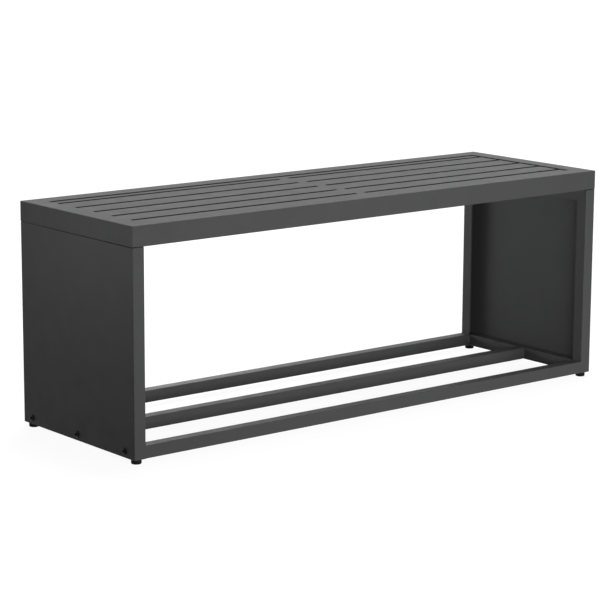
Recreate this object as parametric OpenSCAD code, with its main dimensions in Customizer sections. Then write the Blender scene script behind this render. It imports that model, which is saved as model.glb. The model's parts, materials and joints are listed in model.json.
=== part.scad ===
// Firewood rack with a slatted seat on top: two folded sheet sides, a welded base frame,
// a screwed-on lid frame with a drop-in seat panel, and four levelling feet.
// Millimetres. X is the width, Y the depth (front is -Y), Z is up.
// The origin is on the floor, under the middle of the rack.

/* [Overall] */
// Width over the two side skins
rack_w = 1200; // [900:10:1500]
// Depth, front face to back face
rack_d = 380; // [300:5:480]
// Height, floor to the top of the seat rim
rack_h = 450; // [360:5:600]

/* [Side panels] */
// Thickness of the side sheet
side_t = 1.5; // [1.2:0.1:1.8]
// Inner radius of the bends in the side sheet
side_bend = 0.5; // [0.3:0.1:1.8]
// Width of the folded edge of a side panel, as seen from the front
fold_w = 26.5; // [22:0.5:32]
// Depth of the return lips behind the folded edges
lip_d = 25; // [15:1:32]

/* [Base frame] */
// Height of the base tubes
base_h = 25; // [20:1:32]
// Depth of the front, rear and centre base tubes
base_w = 25; // [20:1:32]
// Wall of the base tubes
base_t = 1.5; // [1.2:0.1:1.8]

/* [Lid frame] */
// Width of the lid tubes, as seen from above
lid_w = 40; // [32:1:50]
// Height of the lid tubes
lid_h = 40; // [32:1:50]
// Wall of the lid tubes
lid_t = 2; // [1.5:0.1:2.5]
// Radius of the four upright corners of the lid
lid_corner = 1; // [0.5:0.5:3]

/* [Seat panel] */
// Thickness of the seat sheet
seat_t = 3; // [2:0.1:3.5]
// Depth of the sheet's top face below the rim
seat_recess = 1.5; // [1:0.1:3]
// Gap between the panel and the rim along the front and the back
seat_gap_y = 3; // [2:0.1:4]
// Gap between the panel and the rim at the two ends
seat_gap_x = 3; // [2:0.1:6]
// Radius of the panel's outer edges
seat_edge_r = 1.5; // [1:0.1:2.5]
// Height of the panel's folded edges
seat_edge_h = 20; // [14:1:24]
// Width of one slot
slot_w = 10; // [6:0.5:14]
// Distance from one slot to the next
slot_pitch = 61.4; // [40:0.1:80]
// Narrowest strip of sheet in front of the first slot
edge_strip = 15; // [10:1:20]
// Width of the unslotted bridge in the middle
bridge_w = 22; // [16:1:30]
// How far the slots run down the end folds
slot_drop = 10; // [6:1:12]

/* [Seat supports] */
// Depth of the ledge bars inside the lid frame
ledge_w = 12; // [10:1:16]
// Thickness of the ledge bars
ledge_t = 3; // [2:0.5:4]
// Width of the bearer under the bridge
bearer_w = 20; // [12:1:22]
// Wall of the bearer
bearer_t = 1.5; // [1.2:0.1:1.8]

/* [Side bolts] */
// Thread of the bolts through the side panels
bolt_d = 8; // [6:1:8]
// Head diameter of these bolts
bolt_head_d = 14; // [12:0.5:15]
// Head height of these bolts
bolt_head_h = 4.4; // [3.3:0.1:5]
// Length of these bolts under the head
bolt_l = 16; // [12:1:18]
// Distance of the outer bolts from the front and back faces
bolt_inset = 31; // [28:1:50]
// Key width of the hexagon socket in the bolt head
bolt_key = 5; // [4:0.5:5.5]

/* [Lid screws] */
// Thread of the screws that hold the lid
screw_d = 6; // [5:1:6]
// Head diameter of these screws
screw_head_d = 10.5; // [9:0.5:12]
// Head height of these screws
screw_head_h = 3.3; // [2.8:0.1:4]
// Length of these screws under the head
screw_l = 16; // [12:1:20]
// Distance of these screws from the front and back faces
screw_inset = 70; // [50:5:90]
// Key width of the hexagon socket in the screw head
screw_key = 4; // [3:0.5:4.5]

/* [Feet] */
// Height of the base tubes above the floor, with the feet screwed right in
foot_h = 10; // [9:0.5:14]
// Diameter of a foot pad
pad_d = 20; // [18:1:24]
// Radius of the lower edge of a foot pad
pad_edge = 2; // [1:0.5:2.5]
// Thread of the foot studs
stud_d = 8; // [6:1:8]
// Distance of the feet from the front and back faces
foot_inset = 14; // [12:1:16]

/* [Hidden] */

$fn = 48;

// Overshoot of a cut past the face that it opens
cut = 1;
// Inner and outer corner radius of every drawn tube
tube_bend = 0.5;
tube_edge = 1.5;
// Inner radius of the bends in the seat sheet
seat_bend = 0.5;
// Clearance round the plain part of a fastener, and in the drilled holes for the rivet nuts
slack = 0.1;
// Clearance round a bolt or screw where it passes through sheet
hole_slack = 0.5;
// Clearance between parts that move on each other
run_gap = 0.3;

// Heights of the storeys, from the floor up
base_z = foot_h;
lid_z = rack_h - lid_h;
side_h = lid_z - base_z;
seat_z = rack_h - seat_recess;
ledge_z = seat_z - seat_edge_h;
bolt_z = base_z + base_h / 2;

// The crossbar fills a side panel from its skin to the face of its lips
crossbar_w = fold_w - side_t;
crossbar_x = rack_w / 2 - side_t - crossbar_w / 2;
// Its ends stop where the panel's inner bends begin
crossbar_l = rack_d - 2 * (side_t + side_bend);
// The long base tubes butt on the two crossbars
rail_l = rack_w - 2 * fold_w;

// Opening of the lid frame, and the seat panel in it
lid_in_w = rack_w - 2 * lid_w;
lid_in_d = rack_d - 2 * lid_w;
seat_w = lid_in_w - 2 * seat_gap_x;
seat_d = lid_in_d - 2 * seat_gap_y;
slot_rows = floor((seat_d - slot_w - 2 * edge_strip) / slot_pitch) + 1;

// The bearer stands on the ledges, between the panel's folded edges
bearer_h = seat_edge_h - seat_t;
bearer_l = seat_d - 2 * (seat_t + seat_bend + slack);

// Fixing places
bolt_y = rack_d / 2 - bolt_inset;
screw_x = rack_w / 2 - fold_w / 2;
screw_y = rack_d / 2 - screw_inset;
foot_y = rack_d / 2 - foot_inset;

// Rivet nuts: wall of the barrel, and the collar that clamps the tube wall from inside
nut_wall = 1.5;
collar_lip = 1.5;
collar_h = 3;
// How far a rivet nut reaches past the tip of its bolt
nut_reach = 0.5;
bolt_nut_l = bolt_l - side_t + nut_reach;
screw_nut_l = screw_l - side_t + nut_reach;
foot_nut_l = 14;
foot_nut_flange_d = 16;
foot_nut_flange_t = 0.8;

// Depth of a hexagon socket, as a share of the height of the head
socket_share = 0.6;

// A foot: the ball end of the stud turns in the socket of the pad
pad_h = foot_h - foot_nut_flange_t - run_gap;
pad_floor = 1.5;
ball_r = stud_d / 2;
ball_z = pad_floor + ball_r + run_gap;
neck_step = 0.75;
neck_d = stud_d - 2 * neck_step;
thread_z = pad_h + run_gap;
stud_tip_gap = 3.5;
stud_top = base_z + base_h - base_t - stud_tip_gap;

anthracite = [0.27, 0.275, 0.28];
anthracite_dark = [0.22, 0.225, 0.23];
black = [0.05, 0.05, 0.05];
black_plastic = [0.07, 0.07, 0.07];
zinc = [0.72, 0.73, 0.75];

// Rectangle with four round corners, centred
module round_rect(w, h, r) {
  square([w - 2 * r, h], center = true);
  square([w, h - 2 * r], center = true);
  for (x = [-1, 1], y = [-1, 1])
    translate([x * (w / 2 - r), y * (h / 2 - r)]) circle(r);
}

// Rectangle that stands on its base line, with round upper corners
module arch_rect(w, h, r) {
  translate([-w / 2, 0]) square([w, h - r]);
  translate([-w / 2 + r, 0]) square([w - 2 * r, h]);
  for (x = [-1, 1])
    translate([x * (w / 2 - r), h - r]) circle(r);
}

// Section of a drawn tube
module tube_section(w, h, t) {
  difference() {
    round_rect(w, h, tube_edge);
    round_rect(w - 2 * t, h - 2 * t, tube_bend);
  }
}

// Block that stands on the plane z = 0, with round vertical edges and round top edges
module folded_block(w, d, h, r) {
  intersection() {
    linear_extrude(h) round_rect(w, d, r);
    rotate([90, 0, 0]) linear_extrude(d + 2 * cut, center = true) arch_rect(w, h, r);
    rotate([90, 0, 90]) linear_extrude(w + 2 * cut, center = true) arch_rect(d, h, r);
  }
}

// Tube along X, centred
module tube_along_x(l, w, h, t) {
  rotate([90, 0, 90]) linear_extrude(l, center = true) tube_section(w, h, t);
}

// Tube along Y, centred
module tube_along_y(l, w, h, t) {
  rotate([90, 0, 0]) linear_extrude(l, center = true) tube_section(w, h, t);
}

// Bolt or screw with a domed head: the shank points along +Z from the head's seat at z = 0
module button_bolt(d, head_d, head_h, l, key) {
  dome_r = (head_d * head_d / 4 + head_h * head_h) / (2 * head_h);
  difference() {
    intersection() {
      translate([0, 0, dome_r - head_h]) sphere(dome_r);
      translate([0, 0, -head_h]) cylinder(h = head_h, d = head_d);
    }
    translate([0, 0, -head_h - cut])
      cylinder(h = cut + head_h * socket_share, d = key / cos(30), $fn = 6);
  }
  cylinder(h = l, d = d);
}

// Rivet nut along +Z: the outer face of the tube wall lies at z = 0
module rivet_nut(d, l, wall, bore_slack, flange_d = 0, flange_t = 0) {
  barrel_d = d + 2 * nut_wall;
  difference() {
    union() {
      cylinder(h = l, d = barrel_d);
      translate([0, 0, wall]) cylinder(h = collar_h, d = barrel_d + 2 * collar_lip);
      if (flange_d > 0)
        translate([0, 0, -flange_t]) cylinder(h = flange_t, d = flange_d);
    }
    translate([0, 0, -flange_t - cut]) cylinder(h = l + flange_t + 2 * cut, d = d + 2 * bore_slack);
  }
}

// Hole in a tube wall for a rivet nut, along +Z from the outer face
module rivet_nut_hole(d, wall) {
  translate([0, 0, -cut]) cylinder(h = wall + 2 * cut, d = d + 2 * nut_wall + 2 * slack);
}

// Places of the side bolts on the left skin: Z points into the rack
module at_side_bolts() {
  for (y = [-bolt_y, 0, bolt_y])
    translate([-rack_w / 2, y, bolt_z]) rotate([0, 90, 0]) children();
}

// Places of the lid screws on the left side, at the height z
module at_lid_screws(z) {
  for (y = [-screw_y, screw_y])
    translate([-screw_x, y, z]) children();
}

// Places of the two feet on the left side, at the height z
module at_left_feet(z) {
  for (y = [-foot_y, foot_y])
    translate([-crossbar_x, y, z]) children();
}

// Side panel: a skin folded in at the front, the back and the top, with return lips
module left_side_panel() {
  mid_x = -(rack_w - fold_w) / 2;
  lip_x = -rack_w / 2 + fold_w;
  bend_r = side_t + side_bend;
  tab_w = bend_r;
  color(anthracite) difference() {
    union() {
      translate([mid_x, 0, base_z]) folded_block(fold_w, rack_d, side_h, bend_r);
      // Below the lips the front and back folds run out flat to meet the long base tubes
      for (y = [-rack_d / 2, rack_d / 2 - side_t])
        translate([lip_x - tab_w, y, base_z]) cube([tab_w, side_t, base_h]);
    }
    // The hollow inside the folds, open at the bottom
    translate([mid_x, 0, base_z - cut])
      folded_block(fold_w - 2 * side_t, rack_d - 2 * side_t, side_h - side_t + cut, side_bend);
    // The opening towards the wood bay, between the lips
    translate([lip_x - bend_r, -rack_d / 2 + lip_d, base_z - cut])
      cube([bend_r + cut, rack_d - 2 * lip_d, side_h - lip_d + cut]);
    // Room for the crossbar, under the lips
    translate([lip_x - bend_r, -rack_d / 2 + side_t, base_z - cut])
      cube([bend_r + cut, rack_d - 2 * side_t, base_h + cut]);
    at_side_bolts()
      translate([0, 0, -cut]) cylinder(h = side_t + 2 * cut, d = bolt_d + 2 * hole_slack);
    at_lid_screws(lid_z - side_t - cut)
      cylinder(h = side_t + 2 * cut, d = screw_d + 2 * hole_slack);
  }
}

module right_side_panel() {
  mirror([1, 0, 0]) left_side_panel();
}

// Long base tube with its middle at the depth y
module base_rail(y) {
  color(anthracite_dark)
    translate([0, y, base_z + base_h / 2]) tube_along_x(rail_l, base_w, base_h, base_t);
}

module base_front_rail() {
  base_rail(-(rack_d - base_w) / 2);
}

module base_rear_rail() {
  base_rail((rack_d - base_w) / 2);
}

module base_centre_rail() {
  base_rail(0);
}

// Short base tube inside a side panel, with holes for the side bolts' and the feet's rivet nuts
module base_left_crossbar() {
  color(anthracite_dark) difference() {
    translate([-crossbar_x, 0, base_z + base_h / 2])
      tube_along_y(crossbar_l, crossbar_w, base_h, base_t);
    at_side_bolts()
      translate([0, 0, side_t]) rivet_nut_hole(bolt_d, base_t);
    at_left_feet(base_z)
      rivet_nut_hole(stud_d, base_t);
  }
}

module base_right_crossbar() {
  mirror([1, 0, 0]) base_left_crossbar();
}

module left_side_bolts() {
  color(black) at_side_bolts()
    button_bolt(bolt_d, bolt_head_d, bolt_head_h, bolt_l, bolt_key);
}

module right_side_bolts() {
  mirror([1, 0, 0]) left_side_bolts();
}

module left_side_rivet_nuts() {
  color(zinc) at_side_bolts()
    translate([0, 0, side_t]) rivet_nut(bolt_d, bolt_nut_l, base_t, slack);
}

module right_side_rivet_nuts() {
  mirror([1, 0, 0]) left_side_rivet_nuts();
}

// Upright block with the outline of the lid
module lid_outline() {
  translate([0, 0, lid_z - cut]) linear_extrude(lid_h + 2 * cut)
    round_rect(rack_w, rack_d, lid_corner);
}

// Front tube of the lid, mitred at both ends
module lid_front_tube() {
  out_x = rack_w / 2 + cut;
  out_y = -rack_d / 2 - cut;
  in_x = rack_w / 2 - lid_w - cut;
  in_y = -rack_d / 2 + lid_w + cut;
  color(anthracite) intersection() {
    translate([0, -(rack_d - lid_w) / 2, lid_z + lid_h / 2])
      tube_along_x(2 * (out_x + cut), lid_w, lid_h, lid_t);
    translate([0, 0, lid_z - cut]) linear_extrude(lid_h + 2 * cut)
      polygon([[-out_x, out_y], [out_x, out_y], [in_x, in_y], [-in_x, in_y]]);
    lid_outline();
  }
}

module lid_rear_tube() {
  mirror([0, 1, 0]) lid_front_tube();
}

// Left tube of the lid, mitred at both ends, with holes for the lid screws' rivet nuts
module lid_left_tube() {
  out_x = -rack_w / 2 - cut;
  out_y = rack_d / 2 + cut;
  in_x = -rack_w / 2 + lid_w + cut;
  in_y = rack_d / 2 - lid_w - cut;
  color(anthracite) difference() {
    intersection() {
      translate([-(rack_w - lid_w) / 2, 0, lid_z + lid_h / 2])
        tube_along_y(2 * (out_y + cut), lid_w, lid_h, lid_t);
      translate([0, 0, lid_z - cut]) linear_extrude(lid_h + 2 * cut)
        polygon([[out_x, out_y], [out_x, -out_y], [in_x, -in_y], [in_x, in_y]]);
      lid_outline();
    }
    at_lid_screws(lid_z)
      rivet_nut_hole(screw_d, lid_t);
  }
}

module lid_right_tube() {
  mirror([1, 0, 0]) lid_left_tube();
}

// Screws up through the top fold of a side panel
module left_lid_screws() {
  color(black) at_lid_screws(lid_z - side_t)
    button_bolt(screw_d, screw_head_d, screw_head_h, screw_l, screw_key);
}

module right_lid_screws() {
  mirror([1, 0, 0]) left_lid_screws();
}

module left_lid_rivet_nuts() {
  color(zinc) at_lid_screws(lid_z)
    rivet_nut(screw_d, screw_nut_l, lid_t, slack);
}

module right_lid_rivet_nuts() {
  mirror([1, 0, 0]) left_lid_rivet_nuts();
}

// One sheet folded down on all four sides, with two columns of slots that run over the end folds
module seat_panel() {
  slot_l = seat_w / 2 - bridge_w / 2 + cut;
  slot_depth = seat_t + slot_drop;
  color(anthracite) difference() {
    translate([0, 0, ledge_z]) difference() {
      folded_block(seat_w, seat_d, seat_edge_h, seat_edge_r);
      translate([0, 0, -cut])
        folded_block(seat_w - 2 * seat_t, seat_d - 2 * seat_t, seat_edge_h - seat_t + cut, seat_bend);
    }
    for (side = [-1, 1], row = [0 : slot_rows - 1])
      translate([
        side * (bridge_w / 2 + slot_l / 2),
        (row - (slot_rows - 1) / 2) * slot_pitch,
        seat_z - slot_depth / 2 + cut / 2
      ])
        cube([slot_l, slot_w, slot_depth + cut], center = true);
  }
}

// Bars welded inside the lid frame, which carry the folded edges of the seat panel
module seat_front_ledge() {
  color(anthracite_dark)
    translate([-lid_in_w / 2, -lid_in_d / 2, ledge_z - ledge_t])
      cube([lid_in_w, ledge_w, ledge_t]);
}

module seat_rear_ledge() {
  mirror([0, 1, 0]) seat_front_ledge();
}

module seat_left_ledge() {
  color(anthracite_dark)
    translate([-lid_in_w / 2, -lid_in_d / 2 + ledge_w, ledge_z - ledge_t])
      cube([ledge_w, lid_in_d - 2 * ledge_w, ledge_t]);
}

module seat_right_ledge() {
  mirror([1, 0, 0]) seat_left_ledge();
}

// Tube under the bridge of the seat panel, from the front ledge to the rear one
module seat_bearer() {
  color(anthracite_dark)
    translate([0, 0, ledge_z + bearer_h / 2])
      tube_along_y(bearer_l, bearer_w, bearer_h, bearer_t);
}

// Rivet nuts in the bottom wall of the two crossbars, which the foot studs screw into
module foot_rivet_nuts() {
  color(zinc)
    for (side = [0, 1])
      mirror([side, 0, 0]) at_left_feet(base_z)
        rivet_nut(stud_d, foot_nut_l, base_t, run_gap, foot_nut_flange_d, foot_nut_flange_t);
}

// Foot pad: a round puck with a soft lower edge and a ball socket
module foot_pad(x, y) {
  color(black_plastic) translate([x, y, 0]) rotate_extrude() difference() {
    union() {
      square([pad_d / 2 - pad_edge, pad_h]);
      translate([0, pad_edge]) square([pad_d / 2, pad_h - pad_edge]);
      translate([pad_d / 2 - pad_edge, pad_edge]) circle(pad_edge);
    }
    translate([0, ball_z]) circle(ball_r + run_gap);
    translate([-cut, ball_z]) square([cut + neck_d / 2 + run_gap, pad_h]);
  }
}

module front_left_foot_pad() {
  foot_pad(-crossbar_x, -foot_y);
}

module front_right_foot_pad() {
  foot_pad(crossbar_x, -foot_y);
}

module rear_left_foot_pad() {
  foot_pad(-crossbar_x, foot_y);
}

module rear_right_foot_pad() {
  foot_pad(crossbar_x, foot_y);
}

// Foot stud: a threaded rod, drawn plain, with a neck and a ball at its lower end
module foot_stud(x, y) {
  color(zinc) translate([x, y, 0]) {
    translate([0, 0, ball_z]) sphere(ball_r);
    translate([0, 0, ball_z]) cylinder(h = thread_z - ball_z, d = neck_d);
    translate([0, 0, thread_z]) cylinder(h = stud_top - thread_z, d = stud_d);
  }
}

module front_left_foot_stud() {
  foot_stud(-crossbar_x, -foot_y);
}

module front_right_foot_stud() {
  foot_stud(crossbar_x, -foot_y);
}

module rear_left_foot_stud() {
  foot_stud(-crossbar_x, foot_y);
}

module rear_right_foot_stud() {
  foot_stud(crossbar_x, foot_y);
}

left_side_panel();
right_side_panel();
base_front_rail();
base_rear_rail();
base_centre_rail();
base_left_crossbar();
base_right_crossbar();
left_side_bolts();
right_side_bolts();
left_side_rivet_nuts();
right_side_rivet_nuts();
lid_front_tube();
lid_rear_tube();
lid_left_tube();
lid_right_tube();
left_lid_screws();
right_lid_screws();
left_lid_rivet_nuts();
right_lid_rivet_nuts();
seat_panel();
seat_front_ledge();
seat_rear_ledge();
seat_left_ledge();
seat_right_ledge();
seat_bearer();
foot_rivet_nuts();
front_left_foot_pad();
front_right_foot_pad();
rear_left_foot_pad();
rear_right_foot_pad();
front_left_foot_stud();
front_right_foot_stud();
rear_left_foot_stud();
rear_right_foot_stud();
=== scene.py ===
# %% [markdown]
# A firewood rack with a slatted seat on top. On the real object every large piece is folded sheet
# steel or drawn square tube, sprayed with one matt powder coat in anthracite grey.
# The pieces come in ready-made at their real size, so this lesson is about three other things:
# how soft the edge of a coated sheet is, how the coat takes the light, and the few small details,
# threads and weld beads, that are too fine to be drawn with the plain pieces.

# %% Load the pieces
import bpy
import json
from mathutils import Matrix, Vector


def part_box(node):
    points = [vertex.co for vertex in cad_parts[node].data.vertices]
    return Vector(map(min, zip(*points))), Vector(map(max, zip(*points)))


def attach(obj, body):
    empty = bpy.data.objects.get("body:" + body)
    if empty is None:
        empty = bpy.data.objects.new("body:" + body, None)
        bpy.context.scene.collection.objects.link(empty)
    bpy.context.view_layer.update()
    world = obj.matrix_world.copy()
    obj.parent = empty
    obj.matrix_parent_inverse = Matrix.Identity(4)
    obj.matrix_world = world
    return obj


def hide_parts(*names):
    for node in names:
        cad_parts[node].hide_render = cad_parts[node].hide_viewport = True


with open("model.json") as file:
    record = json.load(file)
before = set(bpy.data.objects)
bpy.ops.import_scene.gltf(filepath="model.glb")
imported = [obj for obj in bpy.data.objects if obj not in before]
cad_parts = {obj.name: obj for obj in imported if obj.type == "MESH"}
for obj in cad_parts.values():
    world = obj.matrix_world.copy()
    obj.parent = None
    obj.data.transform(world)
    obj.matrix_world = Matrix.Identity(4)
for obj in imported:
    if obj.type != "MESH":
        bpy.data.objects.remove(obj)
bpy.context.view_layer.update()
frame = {"nodes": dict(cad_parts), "record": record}

# %% Tools and units
import json
import math

import bmesh
import bpy
from mathutils import Matrix, Vector

MM = 0.001
slot_of = {part["node"]: part["material_slot"] for part in frame["record"]["subparts"]}

# %% [markdown]
# The camera comes first, because every later choice is judged through it. The picture is square
# and the rack is seen from its front left, from a little above, through a long lens: parallel
# edges hardly run together. The place and angles below were solved from the outlines and lines of
# the rack, together with its proportions, and not set by eye. The lens isn't shifted. That keeps
# the rack in the middle of any other view too, and costs a pixel or two at its lower corners.

# %% Camera
CAMERA_PLACE = Vector((-2.9524, -3.5908, 1.1402))
CAMERA_TURN = 39.104
CAMERA_DROP = 11.505
CAMERA_ROLL = 0.328
LENS_MM = 134.73
SENSOR_MM = 36.0


def add_camera():
    data = bpy.data.cameras.new("camera")
    data.lens = LENS_MM
    data.sensor_width = SENSOR_MM
    camera = bpy.data.objects.new("camera", data)
    turn = Matrix.Rotation(math.radians(-CAMERA_TURN), 4, "Z")
    drop = Matrix.Rotation(math.radians(90 - CAMERA_DROP), 4, "X")
    roll = Matrix.Rotation(math.radians(CAMERA_ROLL), 4, "Z")
    camera.matrix_world = Matrix.Translation(CAMERA_PLACE) @ turn @ drop @ roll
    bpy.context.scene.collection.objects.link(camera)
    bpy.context.scene.camera = camera
    return camera


camera = add_camera()
print("camera to rack: %.2f m, lens: %.0f mm" % (CAMERA_PLACE.length, camera.data.lens))

# %% [markdown]
# A material is a net of nodes, and three kinds of node come back in nearly all of them. Each gets a
# helper that adds the node, feeds it and hands on its result: a calculation, a stretch from one
# range of values onto another, and a blend of two colours. What they are fed is either a plain
# value or the result of another node, so that the helpers can be nested like a formula.

# %% Node helpers


def feed(tree, socket, source):
    if isinstance(source, bpy.types.NodeSocket):
        tree.links.new(source, socket)
    else:
        socket.default_value = source


def calculate(tree, operation, *values):
    node = tree.nodes.new("ShaderNodeMath")
    node.operation = operation
    for socket, value in zip(node.inputs, values):
        feed(tree, socket, value)
    return node.outputs["Value"]


def stretch(tree, value, low, high, to_low, to_high):
    node = tree.nodes.new("ShaderNodeMapRange")
    node.inputs["From Min"].default_value = low
    node.inputs["From Max"].default_value = high
    node.inputs["To Min"].default_value = to_low
    node.inputs["To Max"].default_value = to_high
    feed(tree, node.inputs["Value"], value)
    return node.outputs["Result"]


def blend(tree, factor, first, second):
    node = tree.nodes.new("ShaderNodeMix")
    node.data_type = "RGBA"
    feed(tree, node.inputs["Factor"], factor)
    feed(tree, node.inputs["A"], first)
    feed(tree, node.inputs["B"], second)
    return node.outputs["Result"]


print("node helpers: calculate, stretch, blend")

# %% [markdown]
# All the finishes on this rack are one shader with a little unevenness in it. The first helper
# starts such a material. The second gives a noise whose grains have a real size, measured on the
# piece itself, so that the grain doesn't slide when the rack is seen from elsewhere. Most of that
# noise lies between 0.3 and 0.7, so the third stretches this part onto the values that are wanted.
# The last turns a noise into fine bumps.

# %% Material helpers
NOISE_LOW = 0.3
NOISE_HIGH = 0.7


def start_material(name, metallic, specular):
    material = bpy.data.materials.new(name)
    material.use_nodes = True
    shader = material.node_tree.nodes["Principled BSDF"]
    shader.inputs["Metallic"].default_value = metallic
    shader.inputs["Specular IOR Level"].default_value = specular
    return material, shader


def grains(tree, size, detail):
    place = tree.nodes.new("ShaderNodeTexCoord")
    noise = tree.nodes.new("ShaderNodeTexNoise")
    noise.inputs["Scale"].default_value = 1 / size
    noise.inputs["Detail"].default_value = detail
    tree.links.new(place.outputs["Object"], noise.inputs["Vector"])
    return noise.outputs["Fac"]


def between(tree, noise, low, high):
    return stretch(tree, noise, NOISE_LOW, NOISE_HIGH, low, high)


def bumps(tree, height, depth, strength, under=None):
    bump = tree.nodes.new("ShaderNodeBump")
    bump.inputs["Distance"].default_value = depth
    bump.inputs["Strength"].default_value = strength
    tree.links.new(height, bump.inputs["Height"])
    if under:
        tree.links.new(under, bump.inputs["Normal"])
    return bump.outputs["Normal"]


print("noise is stretched from %.1f to %.1f" % (NOISE_LOW, NOISE_HIGH))

# %% [markdown]
# Where the lid stands on a side panel, two rounded edges make a narrow groove, which reads as a fine
# dark line. The groove is thinner than two pixels, so light alone draws it too faint, and its shade
# is painted into the coat as painted shade: a mask by height, only over the two sides, lets the coat
# grow darker in there. The mask is 1 in the core of the groove and fades out at its edge. It begins
# half a millimetre outside the inner face of the side, because a limit that lies exactly on a face
# leaves specks on it.

# %% Mask of the painted seam shade
GROOVE_CORE = 0.5 * MM
GROOVE_EDGE = 1.3 * MM


def painted_seam_shade_mask(tree):
    inner_face, _, panel_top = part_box("left_side_panel")[1]
    place = tree.nodes.new("ShaderNodeTexCoord")
    parts = tree.nodes.new("ShaderNodeSeparateXYZ")
    tree.links.new(place.outputs["Object"], parts.inputs["Vector"])
    sideways = calculate(tree, "ABSOLUTE", parts.outputs["X"])
    over_side = calculate(tree, "GREATER_THAN", sideways, abs(inner_face) + GROOVE_CORE)
    above = calculate(tree, "SUBTRACT", parts.outputs["Z"], panel_top)
    apart = calculate(tree, "ABSOLUTE", above)
    in_groove = stretch(tree, apart, GROOVE_CORE, GROOVE_EDGE, 1.0, 0.0)
    return calculate(tree, "MULTIPLY", over_side, in_groove)


print("groove darkened: %.1f mm high" % (2 * GROOVE_EDGE / MM))

# %% [markdown]
# Powder coat is dust of plastic that is melted onto the steel in an oven. It flows out to a skin
# a tenth of a millimetre thick, which keeps a slight orange peel two or three millimetres across
# and, in a matt grade, a much finer grain that scatters the light. It could be one grey with one
# roughness, but then large faces look like card. Here the peel and the grain are two layers of
# bumps, and the tone and the roughness drift a few percent over a hand's width.

# %% Powder coat
COAT_DARK = (0.071, 0.0715, 0.072, 1)
COAT_LIGHT = (0.081, 0.0815, 0.082, 1)
PAINTED_GROOVE_SHADE = (0.018, 0.018, 0.018, 1)
DRIFT_SIZE = 90 * MM
CLOUD_SIZE = 35 * MM
PEEL_SIZE = 2.4 * MM
GRAIN_SIZE = 0.35 * MM


def powder_coat():
    material, shader = start_material("anthracite_powder_coat", metallic=0.0, specular=0.12)
    tree = material.node_tree
    drift = grains(tree, DRIFT_SIZE, detail=3)
    coat = blend(tree, drift, COAT_DARK, COAT_LIGHT)
    # Painted shade: the coat is darkened in the groove between lid and side, where shade falls.
    tone = blend(tree, painted_seam_shade_mask(tree), coat, PAINTED_GROOVE_SHADE)
    cloud = grains(tree, CLOUD_SIZE, detail=4)
    peel = grains(tree, PEEL_SIZE, detail=1)
    grain = grains(tree, GRAIN_SIZE, detail=2)
    peel_bumps = bumps(tree, peel, depth=0.02 * MM, strength=0.8)
    all_bumps = bumps(tree, grain, depth=0.008 * MM, strength=0.8, under=peel_bumps)
    feed(tree, shader.inputs["Base Color"], tone)
    feed(tree, shader.inputs["Roughness"], between(tree, cloud, 0.50, 0.58))
    feed(tree, shader.inputs["Normal"], all_bumps)
    return material


coat = powder_coat()
print(coat.name, "nodes:", len(coat.node_tree.nodes))

# %% [markdown]
# The other finishes are on small parts. The bolts and screws are steel with a black oxide layer,
# darker and a little smoother than the coat round them. The rivet nuts and the foot studs are
# bright zinc with a faint cloudiness. The foot pads are moulded black plastic with a fine spark
# texture, so they are the dullest parts of all. On parts this small one size of cloud is enough for
# both the tone and the roughness, and one layer of grain for the bumps.

# %% Small finishes


def small_finish(name, metallic, specular, cloud, tones, roughness, grain, depth, strength):
    material, shader = start_material(name, metallic, specular)
    tree = material.node_tree
    clouds = grains(tree, *cloud)
    fine = grains(tree, grain, detail=2)
    feed(tree, shader.inputs["Base Color"], blend(tree, clouds, *tones))
    feed(tree, shader.inputs["Roughness"], between(tree, clouds, *roughness))
    feed(tree, shader.inputs["Normal"], bumps(tree, fine, depth, strength))
    return material


black_steel = small_finish(
    "black_oxide_steel", metallic=0.1, specular=0.09, cloud=(4 * MM, 3),
    tones=((0.003, 0.003, 0.0032, 1), (0.007, 0.007, 0.0073, 1)),
    roughness=(0.36, 0.48), grain=0.3 * MM, depth=0.005 * MM, strength=0.7)

bright_zinc = small_finish(
    "bright_zinc_steel", metallic=1.0, specular=0.5, cloud=(3 * MM, 4),
    tones=((0.46, 0.47, 0.49, 1), (0.60, 0.61, 0.63, 1)),
    roughness=(0.24, 0.40), grain=0.25 * MM, depth=0.004 * MM, strength=0.6)

moulded_plastic = small_finish(
    "black_foot_plastic", metallic=0.0, specular=0.09, cloud=(6 * MM, 3),
    tones=((0.005, 0.005, 0.005, 1), (0.009, 0.009, 0.009, 1)),
    roughness=(0.55, 0.68), grain=0.4 * MM, depth=0.015 * MM, strength=0.8)

print("small finishes:", black_steel.name, bright_zinc.name, moulded_plastic.name)

# %% [markdown]
# The record of the rack says which finish each piece has. One table from that word to the material
# dresses all of them, so no piece can be forgotten.

# %% Finish of every piece
finishes = {
    "powder_coat": coat,
    "black_screws": black_steel,
    "zinc_steel": bright_zinc,
    "foot_plastic": moulded_plastic,
}

for name, piece in frame["nodes"].items():
    piece.data.materials.clear()
    piece.data.materials.append(finishes[slot_of[name]])
print({slot: sum(s == slot for s in slot_of.values()) for slot in finishes})

# %% [markdown]
# No edge of a coated steel part is sharp: the melt draws back from a cut edge and leaves it round.
# That thin round edge is what catches the light in a picture. The imported pieces have hard cut
# edges, so each gets the same four steps as modifiers: weld the split corners, melt the flat
# triangles into whole faces, round what is still sharp, and let the large faces rule the shading.
# The four lid tubes are left out of the rounding. On the real rack their mitred corners are welded
# and ground flush, so that no line shows there, and their long edges are drawn round already.

# %% Soft edges
SAME_POINT = 0.002 * MM
SAME_PLANE = math.radians(0.2)
ROUND_OVER = math.radians(75)
EDGE_STEPS = 2
EDGE_ROUND = {
    "powder_coat": 0.35 * MM,
    "black_screws": 0.3 * MM,
    "zinc_steel": 0.15 * MM,
    "foot_plastic": 0.4 * MM,
}
GROUND_FLUSH = {"lid_front_tube", "lid_rear_tube", "lid_left_tube", "lid_right_tube"}


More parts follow.
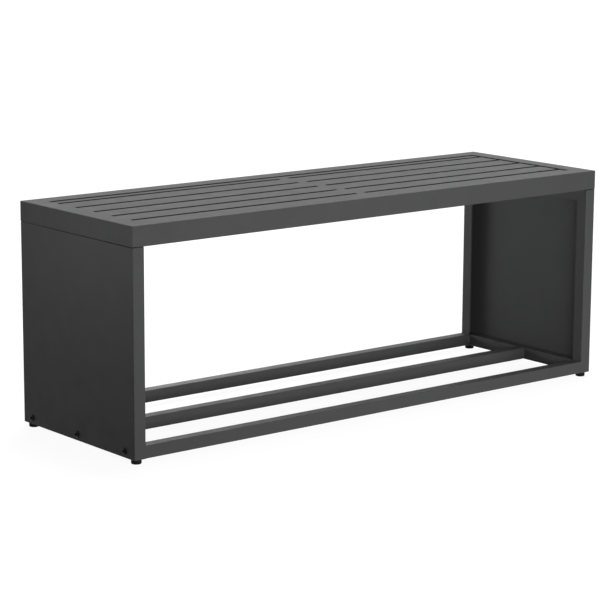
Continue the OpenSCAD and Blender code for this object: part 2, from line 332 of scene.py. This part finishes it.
def soften(piece, width):
    weld = piece.modifiers.new("weld", "WELD")
    weld.merge_threshold = SAME_POINT
    if width > 0:
        melt = piece.modifiers.new("melt", "DECIMATE")
        melt.decimate_type = "DISSOLVE"
        melt.angle_limit = SAME_PLANE
        edge = piece.modifiers.new("edge", "BEVEL")
        edge.limit_method = "ANGLE"
        edge.angle_limit = ROUND_OVER
        edge.width = width
        edge.segments = EDGE_STEPS
    even = piece.modifiers.new("even", "WEIGHTED_NORMAL")
    even.mode = "FACE_AREA"


for name, piece in frame["nodes"].items():
    width = 0 if name in GROUND_FLUSH else EDGE_ROUND[slot_of[name]]
    soften(piece, width)
print("softened:", len(frame["nodes"]) - len(GROUND_FLUSH), "ground flush:", len(GROUND_FLUSH))

# %% [markdown]
# Each foot hangs on an M8 stud, whose thread climbs 1.25 mm in a turn. It comes into sight above
# the pad when the foot is screwed down. A Screw modifier could sweep the thread, but its two ends
# would stay open. Here the whole stud is one grid of points round its axis. In the ball and the
# neck each row is a level ring. In the thread each row climbs by one pitch as it goes round, and
# points that would leave the stud are pressed flat onto its ends. The thread's own section is the
# standard one: a quarter of the pitch is flat at the root, an eighth at the crest.

# %% Rows of the stud
ROUND = 32
PITCH = 1.25 * MM
THREAD_START = 9.2 * MM
THREAD_DEPTH = 0.67 * MM
ROOT_FLAT = 1 / 4
CREST_FLAT = 1 / 8
FLANK = (1 - ROOT_FLAT - CREST_FLAT) / 2
TURNS_BELOW = 2
NECK_R = 3.25 * MM
BALL_ROWS = 10


def ring(radius, height):
    return [(radius, height)] * ROUND


def ball_rows(ball_r, bottom):
    highest = math.acos(NECK_R / ball_r)
    rows = []
    for step in range(BALL_ROWS + 1):
        angle = (highest + math.pi / 2) * step / BALL_ROWS - math.pi / 2
        rows.append(ring(ball_r * math.cos(angle), bottom + ball_r + ball_r * math.sin(angle)))
    return rows


def thread_rows(crest, top):
    root = crest - THREAD_DEPTH
    crest_start = ROOT_FLAT + FLANK
    section = [(0.0, root), (ROOT_FLAT, root), (crest_start, crest), (crest_start + CREST_FLAT, crest)]
    turns = math.ceil((top - THREAD_START) / PITCH)
    rows = []
    for turn in range(-TURNS_BELOW, turns + 1):
        for share, radius in section:
            row = []
            for k in range(ROUND):
                climb = PITCH * (turn + share + k / ROUND)
                height = min(max(THREAD_START + climb, THREAD_START), top)
                # The thread grows out of the neck and shrinks to its root at the top end.
                chamfer = min(NECK_R + height - THREAD_START, root + top - height)
                row.append((min(radius, chamfer), height))
            rows.append(row)
    return rows, len(section)


print("thread: pitch %.2f mm, depth %.2f mm" % (PITCH / MM, THREAD_DEPTH / MM))

# %% [markdown]
# The grid is then joined into faces. A climbing row ends one pitch higher than it began, so across
# the seam it is joined to the row that is one turn further up. Last, points that fell together are
# merged, which closes the surface.

# %% Surface of the stud


def stud_surface(axis, rows, first_thread, rows_per_turn):
    surface = bmesh.new()
    points = []
    for row in rows:
        line = []
        for k, (radius, height) in enumerate(row):
            angle = 2 * math.pi * k / ROUND
            place = (axis.x + radius * math.cos(angle), axis.y + radius * math.sin(angle), height)
            line.append(surface.verts.new(place))
        points.append(line)
    last_thread = len(rows) - 2
    for i in range(len(rows) - 1):
        for k in range(ROUND):
            j = (k + 1) % ROUND
            step = 0
            if j == 0 and first_thread <= i < last_thread:
                step = rows_per_turn
            if i + step + 1 < len(rows):
                corners = (points[i][k], points[i + step][j], points[i + step + 1][j], points[i + 1][k])
                surface.faces.new(corners)
    bmesh.ops.remove_doubles(surface, verts=surface.verts, dist=SAME_POINT)
    bmesh.ops.dissolve_degenerate(surface, dist=SAME_POINT, edges=surface.edges)
    bmesh.ops.recalc_face_normals(surface, faces=surface.faces)
    return surface


print("points in each row:", ROUND)

# %% [markdown]
# A surface becomes a piece when it gets a mesh, a finish and smooth shading that breaks only at
# real edges, such as the crest of a thread. Each threaded stud then takes the place of the plain
# one, so it has to say which piece it replaces and which body it rides on: the screw of its foot,
# which turns while the foot moves. No edge may be left open, which the last number counts.

# %% Threaded studs
STUD_SHARP = 32


def object_from(surface, name, finish, sharp_angle):
    mesh = bpy.data.meshes.new(name)
    surface.to_mesh(mesh)
    surface.free()
    mesh.shade_smooth()
    mesh.set_sharp_from_angle(angle=math.radians(sharp_angle))
    mesh.materials.append(finish)
    piece = bpy.data.objects.new(name, mesh)
    bpy.context.scene.collection.objects.link(piece)
    return piece


def threaded_stud(foot):
    low, high = (Vector(corner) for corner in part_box(foot + "_foot_stud"))
    axis = (low + high) / 2
    radius = (high.x - low.x) / 2
    lower = ball_rows(radius, low.z)
    thread, rows_per_turn = thread_rows(radius, high.z)
    rows = lower + thread + [ring(0, high.z)]
    surface = stud_surface(axis, rows, len(lower), rows_per_turn)
    open_edges = sum(len(edge.link_faces) != 2 for edge in surface.edges)
    stud = object_from(surface, foot + "_threaded_stud", bright_zinc, STUD_SHARP)
    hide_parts(foot + "_foot_stud")
    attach(stud, foot + "_foot_screw")
    print(stud.name, "faces:", len(stud.data.polygons), "open edges:", open_edges)


for foot in ("front_left", "front_right", "rear_left", "rear_right"):
    threaded_stud(foot)

# %% [markdown]
# The base tubes, the lid tubes and the ledges are taken to be welded before the rack is coated. No
# line shows at the outer corners, so those welds are ground flush. In the inner corners, where
# nobody looks, beads usually stay: a fillet three millimetres wide with a ripple for each drop of
# the weld pool. A texture would stay flat when seen from the side, so each bead is a short swept
# mesh: a rounded section that swells at each ripple and narrows at both ends. The bead sinks a
# little into the corner, so that no gap shows.

# %% Weld beads
BEAD_LEG = 3.0 * MM
BEAD_SINK = 0.3 * MM
BEAD_HOLLOW = 0.18
BEAD_END = 0.35
TAPER_LENGTH = 2 * BEAD_LEG
BEAD_SHARP = 50
RIPPLE = 1.5 * MM
RIPPLE_SWELL = 0.12
ROWS_PER_RIPPLE = 6
ARC_STEPS = 5


def bead_row(surface, corner, leg_a, leg_b, size):
    row = [surface.verts.new(corner - (leg_a + leg_b) * BEAD_SINK)]
    for step in range(ARC_STEPS + 1):
        angle = math.pi / 2 * step / ARC_STEPS
        reach = size * (1 - BEAD_HOLLOW * math.sin(2 * angle))
        outwards = leg_a * math.cos(angle) + leg_b * math.sin(angle)
        row.append(surface.verts.new(corner + outwards * reach))
    return row


def add_bead(surface, start, end, leg_a, leg_b):
    length = (end - start).length
    ripples = max(2, round(length / RIPPLE))
    count = ripples * ROWS_PER_RIPPLE
    rows = []
    for i in range(count + 1):
        share = i / count
        to_end = min(share, 1 - share) * length
        taper = min(1, BEAD_END + to_end / TAPER_LENGTH)
        swell = 1 - RIPPLE_SWELL * (1 - abs(math.sin(math.pi * ripples * share)))
        size = BEAD_LEG * taper * swell
        rows.append(bead_row(surface, start.lerp(end, share), leg_a, leg_b, size))
    for low_row, high_row in zip(rows, rows[1:]):
        for k in range(len(low_row)):
            j = (k + 1) % len(low_row)
            surface.faces.new((low_row[k], low_row[j], high_row[j], high_row[k]))
    surface.faces.new(rows[0])
    surface.faces.new(rows[-1])


def finish_beads(surface, name):
    bmesh.ops.recalc_face_normals(surface, faces=surface.faces)
    beads = object_from(surface, name, coat, BEAD_SHARP)
    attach(beads, "rack")
    print(beads.name, "faces:", len(beads.data.polygons))


print("bead: legs of %.1f mm, a ripple every %.1f mm" % (BEAD_LEG / MM, RIPPLE / MM))

# %% [markdown]
# In the base, each long tube meets the two crossbars end on. Its sides that face inwards make an
# upright corner with the crossbar, and that is where the bead runs, short of the round tube edges.
# The two outer faces of the base have no such corner, so they are passed over.

# %% Beads of the base frame
EDGE_LEFT_FREE = 2.5 * MM
X = Vector((1, 0, 0))
Y = Vector((0, 1, 0))
Z = Vector((0, 0, 1))


def base_beads():
    surface = bmesh.new()
    outer_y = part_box("base_front_rail")[0][1]
    for rail in ("base_front_rail", "base_centre_rail", "base_rear_rail"):
        low, high = (Vector(corner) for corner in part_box(rail))
        for x, inwards in ((low.x, X), (high.x, -X)):
            for y, away in ((low.y, -Y), (high.y, Y)):
                if abs(abs(y) - abs(outer_y)) < MM:
                    continue
                foot_of_bead = Vector((x, y, low.z + EDGE_LEFT_FREE))
                top_of_bead = Vector((x, y, high.z - EDGE_LEFT_FREE))
                add_bead(surface, foot_of_bead, top_of_bead, inwards, away)
    finish_beads(surface, "base_weld_beads")


base_beads()

# %% [markdown]
# The ledges under the seat carry little, so they are stitched: short beads below, about as far
# apart as a hand is long. The four inner corners of the lid get an upright bead below the ledges.

# %% Beads of the lid frame
STITCH = 25 * MM
STITCH_STEP = 160 * MM


def stitches(surface, low, high, along, away):
    length = (high - low).dot(along)
    count = max(2, int(length / STITCH_STEP))
    centre = (low + high) / 2
    wall = min(low.dot(away), high.dot(away))
    for i in range(count):
        middle = centre + along * length * ((i + 0.5) / count - 0.5)
        middle = middle - away * middle.dot(away) + away * wall
        middle.z = low.z
        half = along * STITCH / 2
        add_bead(surface, middle - half, middle + half, away, -Z)


def lid_beads():
    surface = bmesh.new()
    front_low, front_high = (Vector(corner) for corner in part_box("seat_front_ledge"))
    rear_low, rear_high = (Vector(corner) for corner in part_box("seat_rear_ledge"))
    left_low, left_high = (Vector(corner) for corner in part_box("seat_left_ledge"))
    right_low, right_high = (Vector(corner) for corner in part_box("seat_right_ledge"))
    stitches(surface, front_low, front_high, X, Y)
    stitches(surface, rear_low, rear_high, X, -Y)
    stitches(surface, left_low, left_high, Y, X)
    stitches(surface, right_low, right_high, Y, -X)
    lid_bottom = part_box("lid_front_tube")[0][2]
    for x, inwards_x in ((front_low.x, X), (front_high.x, -X)):
        for y, inwards_y in ((front_low.y, Y), (rear_high.y, -Y)):
            lower = Vector((x, y, lid_bottom + EDGE_LEFT_FREE))
            upper = Vector((x, y, front_low.z))
            add_bead(surface, lower, upper, inwards_x, inwards_y)
    finish_beads(surface, "lid_weld_beads")


lid_beads()

# %% [markdown]
# The rack stands on a white studio floor. Seen by the camera, floor and background are one even
# white, so the floor adds a steady glow to what the lamps give it. The part that the lamps give is
# what the rack's shadow takes away, which leaves a soft dark rim round the feet. Further out, where
# no shadow falls and the lamps grow weak, the glow rises to full white.
# The floor has two greys. The lighter one is seen by the camera and in reflections, and gives the
# shadow its depth. Light that bounces off the floor meets the darker one, without the glow, because
# a floor that is really that white would light the rack too much from below.

# %% Floor
FLOOR_RADIUS = 14.0
FLOOR_SEEN = (0.12, 0.12, 0.12, 1)
FLOOR_BOUNCE = (0.03, 0.03, 0.03, 1)
FLOOR_GLOW = 0.94
SHADOW_REACH = 1.2
FULL_GLOW_FROM = 3 * SHADOW_REACH


def seen_as_white(tree):
    path = tree.nodes.new("ShaderNodeLightPath")
    direct = calculate(tree, "MAXIMUM", path.outputs["Is Camera Ray"], path.outputs["Is Glossy Ray"])
    return calculate(tree, "MAXIMUM", direct, path.outputs["Is Transmission Ray"])


def floor_material():
    material = bpy.data.materials.new("studio_floor")
    material.use_nodes = True
    tree = material.node_tree
    tree.nodes.clear()
    place = tree.nodes.new("ShaderNodeTexCoord")
    distance = tree.nodes.new("ShaderNodeVectorMath")
    distance.operation = "LENGTH"
    matt = tree.nodes.new("ShaderNodeBsdfDiffuse")
    glow = tree.nodes.new("ShaderNodeEmission")
    both = tree.nodes.new("ShaderNodeAddShader")
    out = tree.nodes.new("ShaderNodeOutputMaterial")
    tree.links.new(place.outputs["Object"], distance.inputs[0])
    seen = seen_as_white(tree)
    rise = stretch(tree, distance.outputs["Value"], SHADOW_REACH, FULL_GLOW_FROM, FLOOR_GLOW, 1.0)
    feed(tree, matt.inputs["Color"], blend(tree, seen, FLOOR_BOUNCE, FLOOR_SEEN))
    feed(tree, glow.inputs["Strength"], calculate(tree, "MULTIPLY", seen, rise))
    tree.links.new(matt.outputs[0], both.inputs[0])
    tree.links.new(glow.outputs[0], both.inputs[1])
    tree.links.new(both.outputs[0], out.inputs["Surface"])
    return material


def add_floor():
    bpy.ops.mesh.primitive_circle_add(vertices=64, radius=FLOOR_RADIUS, fill_type="NGON")
    floor = bpy.context.object
    floor.name = "studio_floor"
    floor.data.materials.append(floor_material())
    return floor


floor = add_floor()
print("floor across: %.0f m" % floor.dimensions.x)

# %% [markdown]
# The background works like the floor. The camera and the reflections see white, while the light
# that it gives is nearly none, so that the lamps alone decide how dark each face is. The colours
# are shown by the plain standard view, which keeps white as white.

# %% Background and view
AMBIENT = (0.004, 0.004, 0.004, 1)
WHITE = (1, 1, 1, 1)


def set_world():
    world = bpy.data.worlds.new("studio")
    bpy.context.scene.world = world
    world.use_nodes = True
    tree = world.node_tree
    tree.nodes.clear()
    room = tree.nodes.new("ShaderNodeBackground")
    room.inputs["Color"].default_value = AMBIENT
    white = tree.nodes.new("ShaderNodeBackground")
    white.inputs["Color"].default_value = WHITE
    mix = tree.nodes.new("ShaderNodeMixShader")
    out = tree.nodes.new("ShaderNodeOutputWorld")
    tree.links.new(seen_as_white(tree), mix.inputs["Fac"])
    tree.links.new(room.outputs[0], mix.inputs[1])
    tree.links.new(white.outputs[0], mix.inputs[2])
    tree.links.new(mix.outputs[0], out.inputs["Surface"])


set_world()
bpy.context.scene.view_settings.view_transform = "Standard"
print("background:", bpy.context.scene.world.name, "view:", bpy.context.scene.view_settings.view_transform)

# %% [markdown]
# The seat is the lightest face, the front is a middle grey, and the left side is dark and grows
# darker towards the floor. Seven soft panels give that order. The large one overhead hangs high and
# to the right and the back: it lights the seat evenly and leaves the left side, the front and the
# near walls of the slots in the dark. The front one is a low strip that stands no higher than the
# seat, so it doesn't light the slots either. A short strip level with the lid shades the left side
# downwards. Two bay panels, one in front and one behind, shine between the side panels onto the
# inside of the right one, so that its folds throw no hard shadow on it. The rear strip and the
# right panel light the faces that the first picture hides.

# %% Lamps


def add_lamp(name, place, aim, size, watts):
    data = bpy.data.lights.new(name, "AREA")
    data.shape = "RECTANGLE"
    data.size, data.size_y = size
    data.energy = watts
    lamp = bpy.data.objects.new(name, data)
    lamp.location = place
    lamp.rotation_euler = (Vector(aim) - Vector(place)).to_track_quat("-Z", "Y").to_euler()
    lamp.visible_camera = False
    bpy.context.scene.collection.objects.link(lamp)
    return lamp


# Each line: name, place, point aimed at, width and height, watts.
lamps = [
    add_lamp("overhead_panel", (2.2, 1.6, 8.0), (0.0, 0.0, 0.4), (4.0, 3.0), 675),
    add_lamp("front_strip", (0.35, -1.9, 0.29), (0.25, 0, 0.25), (2.4, 0.3), 22.5),
    add_lamp("left_strip", (-0.9, -0.06, 0.455), (-0.6, -0.04, 0.40), (0.6, 0.04), 0.48),
    add_lamp("bay_panel", (-0.2, -1.5, 0.36), (0.6, 0, 0.3), (0.6, 0.25), 4.5),
    add_lamp("rear_bay_panel", (-0.22, 1.25, 0.30), (0.6, -0.08, 0.25), (0.55, 0.24), 3.0),
    add_lamp("rear_strip", (0.35, 1.9, 0.38), (0.1, 0, 0.33), (1.8, 0.3), 12),
    add_lamp("right_panel", (2.6, 0.6, 0.8), (0.3, 0, 0.25), (1.2, 0.8), 8),
]
print("lamps:", {lamp.name: lamp.data.energy for lamp in lamps})
